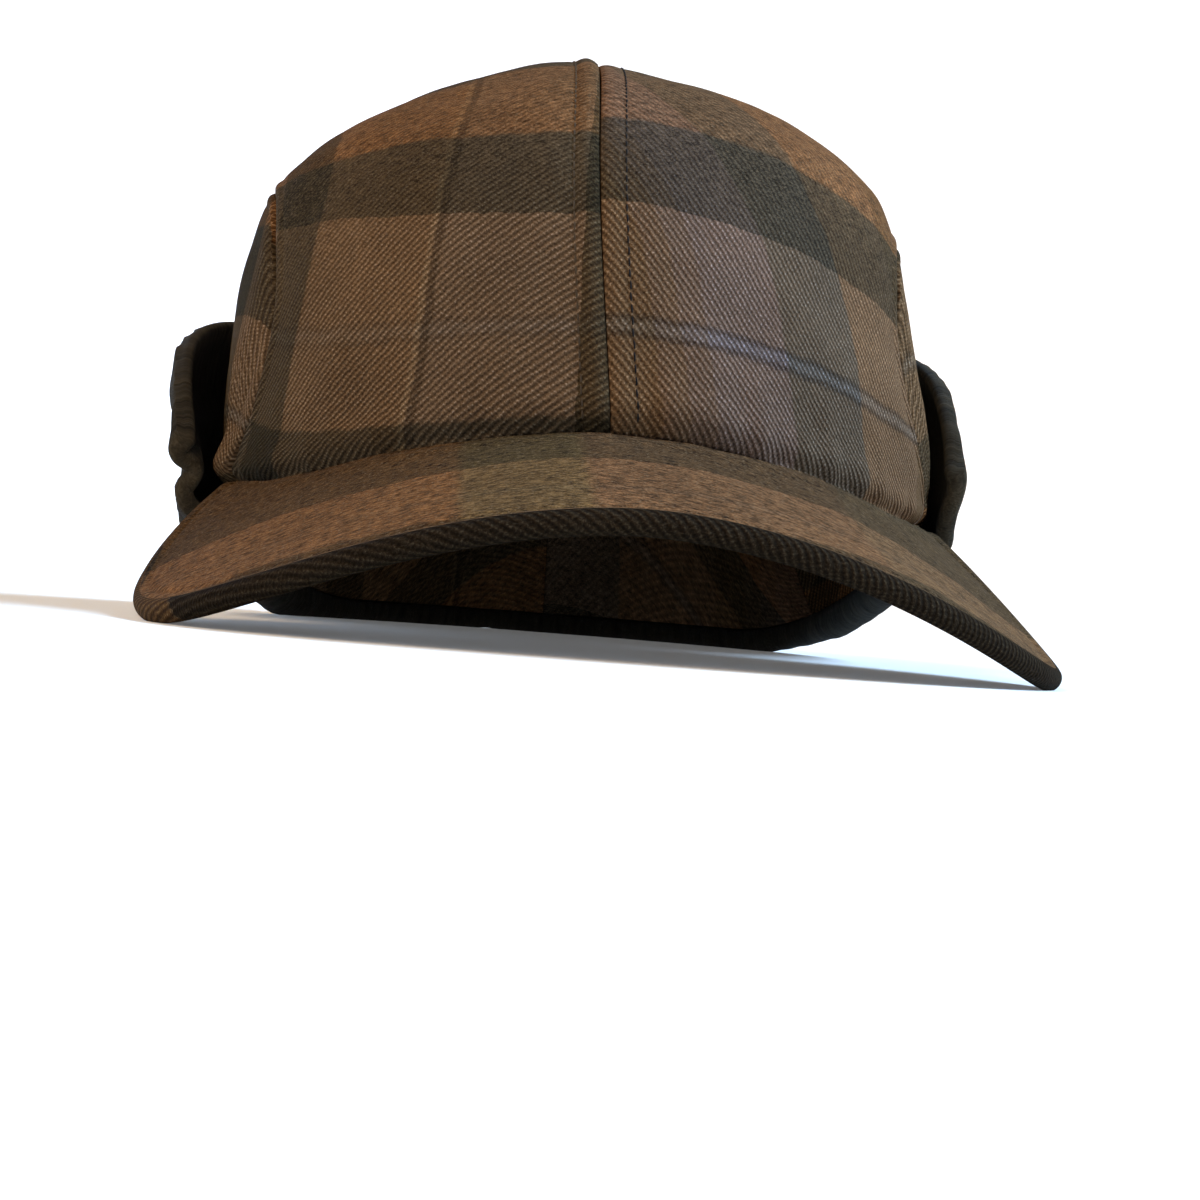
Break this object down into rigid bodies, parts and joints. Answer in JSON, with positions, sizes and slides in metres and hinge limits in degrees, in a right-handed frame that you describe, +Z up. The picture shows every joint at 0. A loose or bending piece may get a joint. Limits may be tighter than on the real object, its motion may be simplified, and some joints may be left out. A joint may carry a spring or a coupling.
{
  "type": "hunting cap",
  "caption": "Soft plaid wool cap with a curved cloth-covered peak and a dark padded ear band folded up round the sides and back.",
  "frame": {"origin": "bottom centre of the box round the cap, on the surface that it stands on", "axes": "+Z up, -Y towards the front edge of the peak, -X to the viewer's left when looking at the peak"},
  "size_m": [0.1942, 0.2738, 0.1369],
  "materials": {
    "plaid_wool": "matt felted twill",
    "ear_lining": "matt brushed fleece"
  },
  "bodies": {
    "root": {"top_panel_left": "plaid_wool", "top_panel_right": "plaid_wool", "side_panel_left": "plaid_wool", "side_panel_right": "plaid_wool", "peak": "plaid_wool", "ear_band": "ear_lining"}
  },
  "joints": []
}
